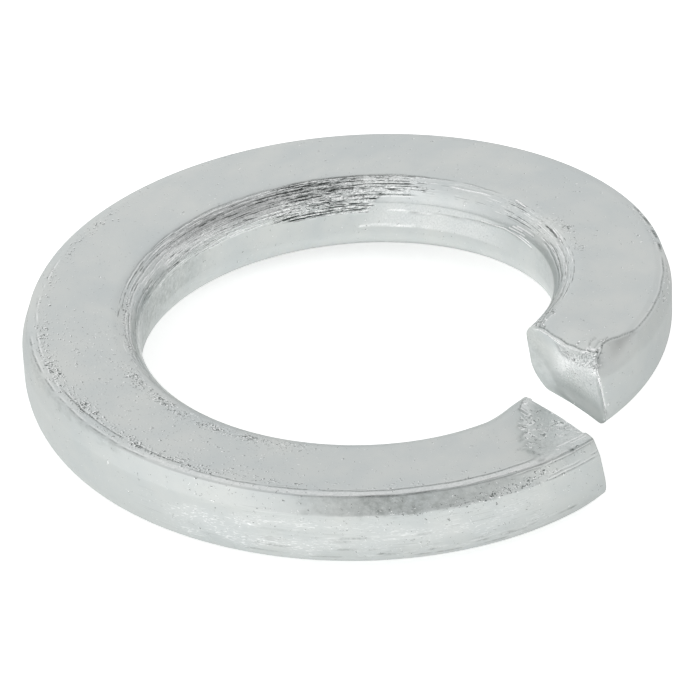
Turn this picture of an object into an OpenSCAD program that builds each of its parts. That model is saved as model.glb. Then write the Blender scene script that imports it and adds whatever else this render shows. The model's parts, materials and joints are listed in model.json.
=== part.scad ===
// Spring lock washer: one turn of rolled wire, cropped askew at its split and sprung open like a helix.
// The axis of the bore is Z, the lower end rests at z = 0, and the wire climbs clockwise seen from above.

/* [Wire] */
// Clear diameter of the bore, which passes a 20 mm bolt
bore_d = 20.5; // [16:0.1:30]
// Width of the wire, from the bore to the rim
wire_w = 5.8; // [4.4:0.1:9]
// Thickness of the wire along the axis
wire_t = 4; // [3.5:0.1:7]
// Height that the wire climbs from its lower end to its raised end
rise = 4; // [1:0.1:8]

/* [Rounded edges of the wire] */
// Rim's upper edge, measured towards the axis
rim_top_in = 0.5; // [0.2:0.1:1.5]
// Rim's upper edge, measured down
rim_top_down = 1; // [0.2:0.1:1.6]
// Rim's lower edge, measured towards the axis
rim_under_in = 1; // [0.2:0.1:1.5]
// Rim's lower edge, measured up
rim_under_up = 1.6; // [0.2:0.1:1.8]
// Bore's upper edge, measured away from the axis
bore_top_out = 1.5; // [0.6:0.1:2]
// Bore's upper edge, measured down
bore_top_down = 1.4; // [0.6:0.1:1.7]
// Bore's lower edge, measured away from the axis
bore_under_out = 1.4; // [0.6:0.1:2]
// Bore's lower edge, measured up
bore_under_up = 1.5; // [0.6:0.1:1.7]

/* [Split] */
// Direction of the split seen from above, anticlockwise from the X axis
split_az = -37.8; // [-60:0.1:-20]
// Width of the split, along the middle of the wire
split_w = 0.6; // [0.3:0.05:2]
// Turn of the raised end's cut away from a line to the axis, seen from above
raised_cut_deg = 20; // [0:1:25]
// Turn of the lower end's cut away from a line to the axis, seen from above
lower_cut_deg = 14; // [0:1:25]
// Lean of both cuts away from upright, so that the raised end overhangs
cut_lean_deg = 11; // [0:1:25]
// Depth of the hollow that the shear leaves in each end face
hollow_d = 0.3; // [0:0.05:0.5]
// Depth that the shear rolls the edge over, on top of the raised end and under the lower one
roll_d = 0.35; // [0:0.05:0.6]
// Length of wire over which the edge rolls over
roll_l = 1.8; // [0.8:0.1:3]

/* [Hidden] */

bore_r = bore_d / 2;
rim_r = bore_r + wire_w;
mid_r = (bore_r + rim_r) / 2;
section_mid = [mid_r, wire_t / 2];

// The swept wire stands this far into the bore, and the round cut then takes it off
bore_stock = 0.04;
stock_r = bore_r - bore_stock;
// Overlap of the round cut past the washer's faces
past = 1;

// Steps round the edges of the section and across its two flats
RIM_STEPS = 4;
BORE_STEPS = 5;
FLAT_STEPS = 4;

// Sections round the whole turn, and the shorter spacing of those nearest each end, in degrees
RING_TURN = 4;
END_TURNS = [1, 2.3];

// Rings inside each end face, as shares of the section's size
HOLLOW_STEPS = [0.8, 0.45];

// Angle that a length along the middle of the wire takes up round the axis, and back
function turn_of(len) = len / mid_r * 180 / PI;
function length_of(turn) = turn / 180 * PI * mid_r;

half_split = turn_of(split_w) / 2;
wire_turn = 360 - 2 * half_split;

// Quarter of an ellipse from a start angle, anticlockwise
function edge(mid, radii, from, steps) =
    [for (i = [0:steps]) let (a = from + 90 * i / steps) mid + [radii[0] * cos(a), radii[1] * sin(a)]];

// Points between two ends of a flat
function flat_points(a, b) = [for (i = [1:FLAT_STEPS - 1]) a + (b - a) * i / FLAT_STEPS];

// Section of the wire as [distance from the axis, height], anticlockwise from the bore's lower edge
bore_under = edge([stock_r + bore_under_out, bore_under_up], [bore_under_out, bore_under_up], 180, BORE_STEPS);
rim_under = edge([rim_r - rim_under_in, rim_under_up], [rim_under_in, rim_under_up], 270, RIM_STEPS);
rim_top = edge([rim_r - rim_top_in, wire_t - rim_top_down], [rim_top_in, rim_top_down], 0, RIM_STEPS);
bore_top = edge([stock_r + bore_top_out, wire_t - bore_top_down], [bore_top_out, bore_top_down], 90, BORE_STEPS);
section = concat(
    bore_under, flat_points(bore_under[BORE_STEPS], rim_under[0]),
    rim_under, rim_top,
    flat_points(rim_top[RIM_STEPS], bore_top[0]), bore_top
);
section_n = len(section);

// Turn that the askew cut adds at a point of the section, which changes evenly from end to end
function cut_turn(p, turned) =
    let (across = tan(raised_cut_deg) + (tan(lower_cut_deg) - tan(raised_cut_deg)) * turned / wire_turn)
    turn_of(-across * (p[0] - mid_r) - tan(cut_lean_deg) * (p[1] - wire_t / 2));

// How far the roll-over reaches at a distance from the cut, and across the width of the wire
function roll_along(dist) = max(0, 1 - dist / roll_l) ^ 2;
function roll_across(r) = sin(180 * (r - stock_r) / (rim_r - stock_r));

// Height that the roll-over takes off the top of the raised end and adds under the lower one
function roll_lift(p, turned) =
    let (up = p[1] / wire_t)
    roll_d * roll_across(p[0]) * (
        (1 - up) * roll_along(length_of(wire_turn - turned)) - up * roll_along(length_of(turned)));

// Point in space for a point of the section, after a turn along the wire from the raised end
function place(p, turned) =
    let (a = turned + cut_turn(p, turned), az = split_az + half_split + a)
    [p[0] * cos(az), p[0] * sin(az), rise * (1 - a / wire_turn) + p[1] + roll_lift(p, turned)];

function ring(points, turned) = [for (p = points) place(p, turned)];

// Rings of a hollow end face, each drawn in towards the middle of the section and set deeper
function drawn_in(share) = [for (p = section) section_mid + share * (p - section_mid)];
function hollow_turn(share) = turn_of(hollow_d * (1 - share ^ 2));

ring_n = ceil(wire_turn / RING_TURN);
turns = concat(
    [0], END_TURNS, [for (i = [1:ring_n - 1]) wire_turn * i / ring_n],
    [for (i = [len(END_TURNS) - 1:-1:0]) wire_turn - END_TURNS[i]], [wire_turn]
);
rings = concat(
    [for (i = [len(HOLLOW_STEPS) - 1:-1:0]) ring(drawn_in(HOLLOW_STEPS[i]), hollow_turn(HOLLOW_STEPS[i]))],
    [for (t = turns) ring(section, t)],
    [for (s = HOLLOW_STEPS) ring(drawn_in(s), wire_turn - hollow_turn(s))]
);
last = len(rings) - 1;
raised_mid = place(section_mid, hollow_turn(0));
lower_mid = place(section_mid, wire_turn - hollow_turn(0));

// Lowest point of the wire, which is set down at z = 0
low = min([for (r = rings, p = r) p[2]]);

// Place in the list of points, for a point of a ring
function at(i, j) = i * section_n + j % section_n;

module wire() {
    points = concat([for (r = rings) each r], [raised_mid, lower_mid]);
    raised_hub = len(points) - 2;
    lower_hub = len(points) - 1;
    sides = [0:section_n - 1];
    skin = [for (i = [0:last - 1], j = sides) each [
        [at(i, j), at(i, j + 1), at(i + 1, j + 1)],
        [at(i, j), at(i + 1, j + 1), at(i + 1, j)]
    ]];
    raised_face = [for (j = sides) [raised_hub, at(0, j + 1), at(0, j)]];
    lower_face = [for (j = sides) [lower_hub, at(last, j), at(last, j + 1)]];
    translate([0, 0, -low]) polyhedron(points, concat(skin, raised_face, lower_face));
}

module bore() {
    translate([0, 0, -past]) cylinder(r = bore_r, h = rise + wire_t + 2 * past, $fn = 180);
}

module lock_washer() {
    color([0.78, 0.80, 0.80]) difference() {
        wire();
        bore();
    }
}

lock_washer();
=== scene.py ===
"""A spring lock washer: one turn of rolled wire, cropped askew, sprung open like a helix and plated with zinc.

The wire is rolled straight first, with the marks that drawing, cropping and tumbling leave on it. A Geometry Nodes
tree then coils it into the turn that the frame holds. Lengths are in millimetres until a mesh or a node takes them.
"""
import json
import math

import bpy
import numpy as np
from mathutils import Matrix, Quaternion, Vector


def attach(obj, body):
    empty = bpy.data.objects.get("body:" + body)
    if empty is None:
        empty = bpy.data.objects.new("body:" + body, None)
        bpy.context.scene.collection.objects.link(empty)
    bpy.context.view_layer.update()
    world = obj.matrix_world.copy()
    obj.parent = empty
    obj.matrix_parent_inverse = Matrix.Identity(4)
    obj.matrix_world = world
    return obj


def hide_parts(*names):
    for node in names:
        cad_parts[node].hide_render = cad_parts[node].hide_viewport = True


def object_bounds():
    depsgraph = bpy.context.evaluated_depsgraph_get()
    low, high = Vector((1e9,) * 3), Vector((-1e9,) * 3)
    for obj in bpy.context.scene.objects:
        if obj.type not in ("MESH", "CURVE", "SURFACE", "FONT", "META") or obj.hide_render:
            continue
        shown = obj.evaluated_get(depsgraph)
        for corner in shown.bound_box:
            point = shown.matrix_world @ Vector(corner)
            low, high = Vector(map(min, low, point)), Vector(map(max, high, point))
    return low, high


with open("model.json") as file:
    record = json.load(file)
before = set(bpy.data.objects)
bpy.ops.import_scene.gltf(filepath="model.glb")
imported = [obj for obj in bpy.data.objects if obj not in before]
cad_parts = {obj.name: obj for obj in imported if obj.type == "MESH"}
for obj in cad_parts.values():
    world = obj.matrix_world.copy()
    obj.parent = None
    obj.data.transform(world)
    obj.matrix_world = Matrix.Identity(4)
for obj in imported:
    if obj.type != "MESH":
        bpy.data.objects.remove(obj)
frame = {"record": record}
cad_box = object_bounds()

bl_info = {
    "name": "Spring lock washer",
    "version": (1, 0, 0),
    "blender": (4, 5, 0),
    "location": "View3D > Sidebar > Lock Washer",
    "description": "Makes a zinc plated spring lock washer, cropped and sprung open, on a pale stage",
    "category": "Add Mesh",
}

MM = 0.001

MATH = "ShaderNodeMath"
VECTOR_MATH = "ShaderNodeVectorMath"
NOISE = "ShaderNodeTexNoise"
RAMP = "ShaderNodeMapRange"

# Sizes that the frame gives
RIM_RADIUS = (cad_box[1].x - cad_box[0].x) / 2
BORE_RADIUS = next(m["dims"]["r_mm"] for m in frame["record"]["mounts"] if m["name"] == "bore") * MM


def linear(hex_colour):
    """The linear colour of an sRGB hex value such as "C6CCCB"."""
    parts = [int(hex_colour[i:i + 2], 16) / 255 for i in (0, 2, 4)]
    return [p / 12.92 if p <= 0.04045 else ((p + 0.055) / 1.055) ** 2.4 for p in parts]


def put(tree, kind, inputs=(), out=0, **settings):
    """Adds a node with its settings and gives one of its outputs. An input is a value or another node's output."""
    made = tree.nodes.new(kind)
    for name, value in settings.items():
        setattr(made, name, value)
    for name, value in dict(inputs).items():
        if isinstance(value, bpy.types.NodeSocket):
            tree.links.new(value, made.inputs[name])
        else:
            made.inputs[name].default_value = value
    return made.outputs[out] if made.outputs else made


def blend(tree, share, first, second):
    """Mixes two colours."""
    return put(tree, "ShaderNodeMix", {0: share, 6: first, 7: second}, data_type="RGBA", out=2)


def total(tree, *parts):
    """Adds amounts up to 1."""
    result = parts[0]
    for part in parts[1:]:
        result = put(tree, MATH, {0: result, 1: part}, operation="ADD", use_clamp=True)
    return result


def size(name, description, default_mm):
    """A length that a user can change, given in millimetres."""
    return bpy.props.FloatProperty(
        name=name, description=description, default=default_mm * MM, min=0, unit="LENGTH", precision=5)


def turn(name, description, default_degrees):
    """An angle that a user can change, given in degrees."""
    return bpy.props.FloatProperty(
        name=name, description=description, default=math.radians(default_degrees), subtype="ANGLE")


def tint(name, description, hex_colour):
    """A colour that a user can change, given as its sRGB hex value."""
    return bpy.props.FloatVectorProperty(
        name=name, description=description, default=linear(hex_colour), subtype="COLOR", min=0, max=1)


def level(name, description, default):
    """A brightness that a user can change, where 1 is white."""
    return bpy.props.FloatProperty(name=name, description=description, default=default, min=0)


class WireSizes(bpy.types.PropertyGroup):
    """The rolled wire and its edges."""
    thickness: size("Thickness", "Thickness of the wire along the axis", 4)
    rise: size("Rise", "Height that the wire climbs over the turn", 4)
    bevel_in: size("Bevel width", "Width of the flat that rolling leaves at the rim's upper edge", 0.8)
    bevel_down: size("Bevel drop", "How far that flat falls", 0.1)
    facet_in: size("Facet width", "How far the facet under the bevel stands in at its top", 0.29)
    facet_down: size("Facet drop", "Height from the wire's top to the foot of the facet", 1)
    rim_under_in: size("Rim's lower edge, in", "Rounding of the rim's lower edge towards the axis", 1)
    rim_under_up: size("Rim's lower edge, up", "Rounding of the rim's lower edge upwards", 1.6)
    bore_top_out: size("Bore's upper edge, out", "Rounding of the bore's upper edge away from the axis", 1.5)
    bore_top_down: size("Bore's upper edge, down", "Rounding of the bore's upper edge downwards", 1.4)
    bore_under_out: size("Bore's lower edge, out", "Rounding of the bore's lower edge away from the axis", 1.4)
    bore_under_up: size("Bore's lower edge, up", "Rounding of the bore's lower edge upwards", 1.5)
    bore_stock: size("Bore stock", "How far the rolled wire stands into the bore before it is trued", 0.04)


class SplitSizes(bpy.types.PropertyGroup):
    """The split, where the turn was cropped from the coil."""
    direction: turn("Direction", "Direction of the split seen from above", -37.8)
    width: size("Width", "Width of the split along the middle of the wire", 0.6)
    raised_cut: turn("Raised end's cut", "Turn of the raised end's cut away from a line to the axis", 20)
    lower_cut: turn("Lower end's cut", "Turn of the lower end's cut away from a line to the axis", 14)
    lean: turn("Lean", "Lean of both cuts away from upright", 11)
    hollow: size("Hollow", "Depth of the hollow in each end face", 0.3)
    roll_depth: size("Roll-over depth", "Depth that the shear rolls the edge over", 0.35)
    roll_length: size("Roll-over length", "Length of wire over which the edge rolls over", 1.8)


class ZincLook(bpy.types.PropertyGroup):
    """The electroplated zinc, what rolling, drawing and tumbling did to it, and the highlights and shade painted on its
    marks.
    """
    zinc: tint("Zinc", "Colour of the plated flats", "D1D4D2")
    cool: tint("Cool zinc", "Tint of the passivated patches", "CACFCF")
    # Rubbed edges, and the painted highlights, sheen and reflections on ridges, groove sides, pit rims, curls, the dish
    # and the bore's wall, take this pale colour
    burnish_and_highlight: tint("Burnished zinc", "Colour where an edge was rubbed bright", "FCFDFD")
    # Painted shade in pits, creases, grooves and curls, and on the bore's darker side, takes this dark colour
    pit_and_groove_shade: tint("Pitted zinc", "Colour of the pits and specks", "6A706E")
    scored: tint("Scored zinc", "Colour in the bottom of the lines that the die scored", "3E4241")
    # Painted shade under the rim's upper edge, on the left of the bore's wall and in hollows takes this grey, as does
    # the dull margin on the raised end's face
    stain_and_shade: tint("Stained zinc", "Colour of the dull stain under the rim's upper edge", "A9AEAC")
    roughness: bpy.props.FloatProperty(
        name="Roughness", description="Roughness of the plated flats", default=0.38, min=0, max=1)
    wave_depth: size("Wave depth", "Depth of the slow waves in the rolled flats", 0.008)
    draw_depth: size("Draw line depth", "Depth of the lines that drawing leaves along the wire", 0.035)
    crinkle_depth: size("Crinkle depth", "Depth of the crumpled metal at the cropped ends", 0.06)


class StageLook(bpy.types.PropertyGroup):
    """The floor, the tent of light and the camera."""
    floor: tint("Floor", "Colour of the floor", "F4F5F4")
    tent_level: level("Tent level", "Brightness of the white tent on the strip light's side", 0.99)
    far_tent_level: level("Far tent level", "Brightness of the white tent on the other side", 0.86)
    opening_level: level("Opening level", "Brightness of the tent's opening, where the camera looks in", 0.62)
    ceiling_level: level("Ceiling level", "Brightness of the dark ceiling over the tent's open top", 0.4)
    strip_level: level("Strip level", "Brightness of the tent's wall in front of the strip light", 1.28)
    seen_lift: level("Seen lift", "Light that the paper adds for the camera, so that it is white", 0.6)
    near_lift: level("Near lift", "Light that the paper adds in the metal, on the camera's side", 0.45)
    far_lift: level("Far lift", "Light that the paper adds in the metal, behind the washer", 0)
    bore_lift: level("Bore lift", "Light that the paper adds in the metal, inside the bore", 0.47)
    foot_lift: level("Foot lift", "Light that the paper adds in the metal, at the foot of the bore's wall", 0.58)
    lens: bpy.props.FloatProperty(
        name="Lens", description="Focal length on a 36 mm wide picture", default=279.57, min=1, unit="CAMERA")


# Rolled wire

# Spacing of the section's points, in millimetres: fine where lines show, coarse underneath
FINE_SPACING = 0.04
FLAT_SPACING = 0.07
RIM_SPACING = 0.1
UNDER_SPACING = 0.2

# Width of the strip of finely spaced points on the flat beside each of its edges
EDGE_STRIP = 0.45

# Spacing of the sections along the wire, in millimetres, close at each end and wider towards the middle
END_STEP = 0.04
STEP_GROWTH = 1.045
MIDDLE_STEP = 0.25

# Rings inside each end face, as distances in from its edge in millimetres, close at the edge
FACE_STEP = 0.03
FACE_GROWTH = 1.1

# What can be done to the metal at a point of the skin, and where highlights and shade are painted on it, each from 0 to
# 1
MARKS = ("drawn", "torn", "burnish_and_highlight", "pit_and_groove_shade", "stain_and_shade", "specked", "rubbed", "curled", "scratched")
# A point within this distance of a crisp scratch is marked by how close it is, and the material draws the line
SCRATCH_REACH = 0.4


def arc(middle, radii, start, spacing):
    """A quarter of an ellipse, anticlockwise from its start angle in degrees."""
    count = math.ceil(sum(radii) / 2 * math.pi / 2 / spacing)
    angle = np.radians(start + np.linspace(0, 90, count + 1))
    return np.column_stack([middle[0] + radii[0] * np.cos(angle), middle[1] + radii[1] * np.sin(angle)])


def line(start, end, spacing):
    """Points on a straight stretch, with both its ends."""
    count = max(1, math.ceil(math.dist(start, end) / spacing))
    share = np.linspace(0, 1, count + 1)[:, None]
    return np.array(start) * (1 - share) + np.array(end) * share


def section_outline(wire, stock_radius, rim_radius):
    """The wire's section as distance from the axis and height, anticlockwise from the bore's lower edge."""
    top = wire.thickness / MM
    bevel_in, facet_in = wire.bevel_in / MM, wire.facet_in / MM
    bevel_foot = (rim_radius - facet_in, top - wire.bevel_down / MM)
    facet_foot = (rim_radius, top - wire.facet_down / MM)
    bevel_head = rim_radius - bevel_in
    under_out, under_up = wire.bore_under_out / MM, wire.bore_under_up / MM
    rim_in, rim_up = wire.rim_under_in / MM, wire.rim_under_up / MM
    top_out, top_down = wire.bore_top_out / MM, wire.bore_top_down / MM
    flat_start = stock_radius + top_out
    stretches = [
        arc((stock_radius + under_out, under_up), (under_out, under_up), 180, UNDER_SPACING),
        line((stock_radius + under_out, 0), (rim_radius - rim_in, 0), 2 * UNDER_SPACING),
        arc((rim_radius - rim_in, rim_up), (rim_in, rim_up), 270, RIM_SPACING),
        line((rim_radius, rim_up), facet_foot, RIM_SPACING),
        line(facet_foot, bevel_foot, FINE_SPACING),
        line(bevel_foot, (bevel_head, top), FINE_SPACING),
        line((bevel_head, top), (bevel_head - EDGE_STRIP, top), FINE_SPACING),
        line((bevel_head - EDGE_STRIP, top), (flat_start, top), FLAT_SPACING),
        arc((flat_start, top - top_down), (top_out, top_down), 90, FINE_SPACING),
        line((stock_radius, top - top_down), (stock_radius, under_up), RIM_SPACING),
    ]
    return np.concatenate([s[:-1] for s in stretches])


def soften(points):
    """Eases the outline's corners by drawing each point halfway to the middle of its neighbours."""
    return points / 2 + (np.roll(points, 1, 0) + np.roll(points, -1, 0)) / 4


def growing(step, growth, widest, reach):
    """Distances from 0 whose steps grow up to the widest, as far as the reach."""
    places = [0.0]
    while places[-1] < reach:
        places.append(places[-1] + step)
        step = min(step * growth, widest)
    return np.array(places[:-1])


def along_places(length):
    """Places of the sections along the wire, close together at both ends."""
    half = growing(END_STEP, STEP_GROWTH, MIDDLE_STEP, length / 2 - MIDDLE_STEP / 2)
    return np.concatenate([half, length - half[::-1]])


class Skin:
    """Points of the straight wire's skin in millimetres, one row a ring, and what was done to the metal there.

    Along runs from the raised end. Girth is the way round the section from the foot of the bore's land, up over the
    top and down the rim. Inset is the distance in from the edge of an end face, and 0 on the wire's sides.
    """

    def __init__(self, wire, split):
        self.rim_radius = RIM_RADIUS / MM
        self.bore_radius = BORE_RADIUS / MM
        self.stock_radius = self.bore_radius - wire.bore_stock / MM
        self.middle_radius = (self.bore_radius + self.rim_radius) / 2
        self.length = 2 * math.pi * self.middle_radius - split.width / MM
        self.top = wire.thickness / MM
        self.hollow = split.hollow / MM
        outline = soften(section_outline(wire, self.stock_radius, self.rim_radius))
        self.centre = np.array([self.middle_radius, self.top / 2])
        places = along_places(self.length)
        inset = growing(FACE_STEP, FACE_GROWTH, self.top, self.top / 2 * 0.97)[1:]
        shares = 1 - inset / (self.top / 2)
        hollow = self.hollow * (1 - shares ** 2)
        everywhere = np.ones(len(outline))
        ring_shares = np.concatenate([shares[::-1], 1 + 0 * places, shares])
        rings = self.centre + ring_shares[:, None, None] * (outline - self.centre)
        self.along = np.concatenate([hollow[::-1], places, self.length - hollow])[:, None] * everywhere
        self.out = rings[:, :, 0]
        self.up = rings[:, :, 1]
        self.inset = np.concatenate([inset[::-1], 0 * places, inset])[:, None] * everywhere
        self.side = self.inset == 0
        self.share = ring_shares[:, None] * everywhere
        step = np.linalg.norm(np.diff(outline, axis=0, append=outline[:1]), axis=1)
        walked = np.cumsum(step) - step
        self.perimeter = step.sum()
        self.girth = (self.perimeter - walked)[None, :] * np.ones((len(rings), 1))
        self.angle = (walked / self.perimeter * math.tau)[None, :] * np.ones((len(rings), 1))
        tangent = np.roll(outline, -1, 0) - np.roll(outline, 1, 0)
        tangent /= np.linalg.norm(tangent, axis=1)[:, None]
        self.normal = np.column_stack([tangent[:, 1], -tangent[:, 0]])
        self.masks = {name: np.zeros(self.along.shape) for name in MARKS}

    @property
    def across(self):
        """Distance from the bore."""
        return self.out - self.stock_radius

    def mark(self, name, amount):
        """Adds an amount to one of the masks, up to 1."""
        self.masks[name] = np.clip(self.masks[name] + amount, 0, 1)

    def sink(self, depth):
        """Moves points of the wire's sides in along the section's normal."""
        self.out = self.out - depth * self.side * self.normal[:, 0]
        self.up = self.up - depth * self.side * self.normal[:, 1]

    def end(self, raised):
        """Distance from one end: along the sides above 0, and in from the edge of that end's face below 0."""
        sides = self.along if raised else self.length - self.along
        return np.where(self.side, sides, -self.inset) + self.length * (sides > self.length / 2)


def ease(x):
    """0 below 0, 1 above 1, and a smooth rise between."""
    x = np.clip(x, 0, 1)
    return x * x * (3 - 2 * x)


def window(x, low, high, soft):
    """1 between two values and 0 outside, with soft flanks."""
    return ease((x - low) / soft + 0.5) * ease((high - x) / soft + 0.5)


def bump(x, width):
    """A smooth hump of height 1 round x = 0."""
    return np.exp(-(x / width) ** 2)


def crinkle(x, y, length, seed, waves=14):
    """Waves of about one length that cross at random, with a spread of 1."""
    rng = np.random.default_rng(seed)
    total = 0
    for _ in range(waves):
        direction = rng.uniform(0, 2 * math.pi)
        pitch = length * rng.uniform(0.6, 1.6)
        total = total + np.sin((x * math.cos(direction) + y * math.sin(direction)) * 2 * math.pi / pitch
                               + rng.uniform(0, 2 * math.pi))
    return total / math.sqrt(waves / 2)


def scratch(skin, distance, where):
    """Marks how close each point is to a crisp bright line, which narrows where it is less than fully there."""
    close = np.clip(1 - np.abs(distance) / SCRATCH_REACH, 0, 1) * where
    skin.masks["scratched"] = np.maximum(skin.masks["scratched"], close)


def crease(skin, points, width, depth, dark, crisp=0):
    """Presses a line through points given as along and girth. Its bottom is darkened with painted shade, or scratched
    bright.
    """
    nearest = np.full(skin.along.shape, np.inf)
    for (a0, g0), (a1, g1) in zip(points, points[1:]):
        run, climb = a1 - a0, g1 - g0
        share = np.clip(((skin.along - a0) * run + (skin.girth - g0) * climb) / (run ** 2 + climb ** 2), 0, 1)
        gap = np.hypot(skin.along - a0 - share * run, skin.girth - g0 - share * climb)
        nearest = np.minimum(nearest, gap)
    shape = bump(nearest, width) * skin.side
    skin.sink(depth * shape)
    skin.mark("pit_and_groove_shade", dark * shape)
    scratch(skin, nearest, crisp * skin.side)


def score(skin, girth, start, end, depth, dark, bright=0, width=0.05, broken=0, seed=1):
    """Scores a long line along the wire, which wanders a little and may be broken into dashes. Its groove is darkened
    with painted shade, and a painted highlight runs along one side of it.
    """
    sway = 0.025 * crinkle(skin.along, 0, 4, seed) + 0.01 * crinkle(skin.along, 0, 0.9, seed + 1)
    dashes = ease(0.5 + 1.5 * (crinkle(skin.along, 0, 1.1, seed + 2) - 3 * broken + 1.5))
    shape = bump(skin.girth - girth - sway, width) * window(skin.along, start, end, 0.6) * dashes * skin.side
    beside = bump(skin.girth - girth - sway + 1.6 * width, width) * window(skin.along, start, end, 0.6) * dashes
    skin.sink(depth * shape)
    skin.mark("pit_and_groove_shade", dark * shape)
    skin.mark("burnish_and_highlight", bright * beside * skin.side)


# How strongly the die scored the bore's upper edge, at places along the wire from the raised end
SCORED_PLACES = (0, 3, 12, 13, 17, 18, 22.5, 24, 27, 28.5, 31.8, 33.3, 39, 42, 56, 60)
SCORED_STRENGTHS = (0.2, 0.3, 0.3, 0.35, 0.35, 0.15, 0.15, 0.6, 0.75, 1, 1, 0.4, 0.35, 0.3, 0.2, 0)

# How strongly the bore's wall is darkened with painted shade on the left, at places along the wire
DIM_PLACES = (37, 40, 43, 46, 50, 53)
DIM_STRENGTHS = (0, 0.3, 0.65, 1, 0.9, 0)

# Short crisp scratches on the right of the bore, each given as points along the wire and round the section
SCRATCHES = (((16.2, 1.33), (12.9, 1.2)), ((15.8, 1.5), (13.9, 1.55)), ((15.2, 1.79), (13.1, 1.84)),
             ((18.4, 1.22), (17.7, 1.22), (16.2, 1.33)), ((17.2, 3.0), (15.9, 2.85)), ((15.5, 1.66), (14.4, 1.68)),
             ((14.7, 1.42), (13.3, 1.38)), ((12.5, 2.75), (10.8, 2.7)))


def draw_the_wire(skin):
    """Lines that the die leaves along the wire: rough at the back of the bore's upper edge, single ones elsewhere, and
    painted shade and highlights on the bore's wall.
    """
    offset = 0.6 * crinkle(0 * skin.girth, skin.girth, 0.35, seed=29) + 0.4 * crinkle(0 * skin.girth, skin.girth, 0.14, seed=30)
    strength = np.interp(skin.along + offset, SCORED_PLACES, SCORED_STRENGTHS)
    lower_edge = np.interp(skin.along, (22, 25.9, 26.4, 31, 33, 36), (1.95, 1.85, 0.9, 0.9, 1.1, 1.15))
    edge = ease((skin.girth - lower_edge + 0.1) / 0.2) * ease((3.04 - skin.girth) / 0.1)
    skin.mark("drawn", strength * edge * skin.side)
    skin.mark("burnish_and_highlight", 0.2 * window(skin.along, 23, 28, 2) * edge * skin.side)
    clouds = ease(0.5 + 0.5 * crinkle(skin.along, skin.girth * 2, 4, seed=28))
    skin.mark("drawn", 0.1 * clouds * window(skin.girth, 8.2, 11.2, 0.4) * window(skin.along, 62, 79, 3) * skin.side)
    skin.mark("burnish_and_highlight", 0.45 * window(skin.along, 32, 42, 2) * window(skin.girth, 1.5, 2.9, 0.5) * skin.side)
    # Painted shade on the bore's land near the raised end and on the left, and a painted highlight on it on the right
    land = window(skin.girth, -1, 1.6, 0.8) * skin.side
    skin.mark("stain_and_shade", 0.3 * land * (window(skin.along, 38, 50, 4) + window(skin.along, 0, 12, 4)))
    skin.mark("burnish_and_highlight", 0.3 * land * window(skin.along, 17, 26, 4))
    # Painted shade on the left of the bore's wall and its lower edge
    dimmed = np.interp(skin.along, DIM_PLACES, DIM_STRENGTHS) * np.maximum(land, skin.girth > skin.perimeter - 2)
    skin.mark("stain_and_shade", 0.45 * dimmed * skin.side)
    skin.mark("pit_and_groove_shade", 0.2 * dimmed * skin.side)

    # The foot of the scored strip and its head, where it meets the flat, and single lines between them, each darkened
    # with painted shade and with a painted highlight along one side
    score(skin, 3.0, 18.5, 46, depth=0.02, dark=0.5, bright=0.4, width=0.035, seed=31)
    score(skin, 2.55, 31, 46.5, depth=0.02, dark=0.6, bright=0.6, width=0.035, seed=32)
    for girth, start, end, seed in ((0.97, 26.4, 30.2, 51), (1.3, 26.6, 29.5, 52), (1.86, 23.6, 28, 53), (2.02, 28, 31.5, 54),
                                    (2.2, 28.6, 32.5, 55), (2.42, 27, 33.5, 43), (2.6, 28.5, 33, 56)):
        score(skin, girth, start, end, depth=0.02, dark=1, bright=0.8, width=0.035, broken=0.1, seed=seed)
    score(skin, 2.78, 34, 44, depth=0.01, dark=0.35, bright=0.3, width=0.03, broken=0.2, seed=44)
    score(skin, 1.7, 39.5, 45, depth=0.02, dark=0.5, bright=0.3, width=0.035, seed=33)
    for girth, start, end, seed in ((1.26, 33, 39, 34), (1.38, 33.5, 38.5, 35), (1.78, 34, 41, 45), (2.02, 35, 42, 46),
                                    (2.3, 36, 45, 47), (1.9, 44, 52, 48), (2.4, 45, 54, 49), (2.6, 47, 56, 50)):
        score(skin, girth, start, end, depth=0.012, dark=0.4, bright=0.6, width=0.03, broken=0.2, seed=seed)

    # Single scratches on the right of the bore, lit along one side with painted highlights, some also darkened with
    # painted shade
    score(skin, 0.2, 21.5, 27, depth=0.01, dark=0, bright=0.9, width=0.04, broken=0.3, seed=38)
    score(skin, 1.07, 20, 25, depth=0.01, dark=0, bright=0.9, width=0.035, broken=0.3, seed=64)
    score(skin, 2.7, 18.8, 21.5, depth=0.02, dark=0.3, bright=1, width=0.04, seed=39)
    score(skin, 2.58, 4, 12, depth=0.02, dark=0.5, bright=0.5, width=0.04, broken=0.2, seed=40)
    score(skin, 2.2, 6, 11.5, depth=0.02, dark=0.8, bright=0.5, width=0.035, seed=41)
    score(skin, 1.95, 6, 12, depth=0.02, dark=0.5, bright=0.4, width=0.035, seed=42)
    # Each crisp scratch has a line of painted shade just beside it
    for points in SCRATCHES:
        crease(skin, points, 0.035, 0.015, 0, crisp=1)
        crease(skin, [(along, girth - 0.07) for along, girth in points], 0.03, 0.015, 0.35)
    skin.mark("specked", 0.6 * window(skin.girth, 2.4, 2.75, 0.2) * window(skin.along, 46.5, 54, 1.5) * skin.side)
    # A crease darkened with painted shade, and a fainter line of painted shade beside it
    for offset, dark in ((0, 0.5), (-0.11, 0.15)):
        crease(skin, [(14.5, 1.2 + offset), (16, 1.42 + offset), (17.5, 1.22 + offset), (20, 1.05 + offset),
                      (23.5, 0.95 + offset)], 0.035, 0.025, dark)


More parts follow.
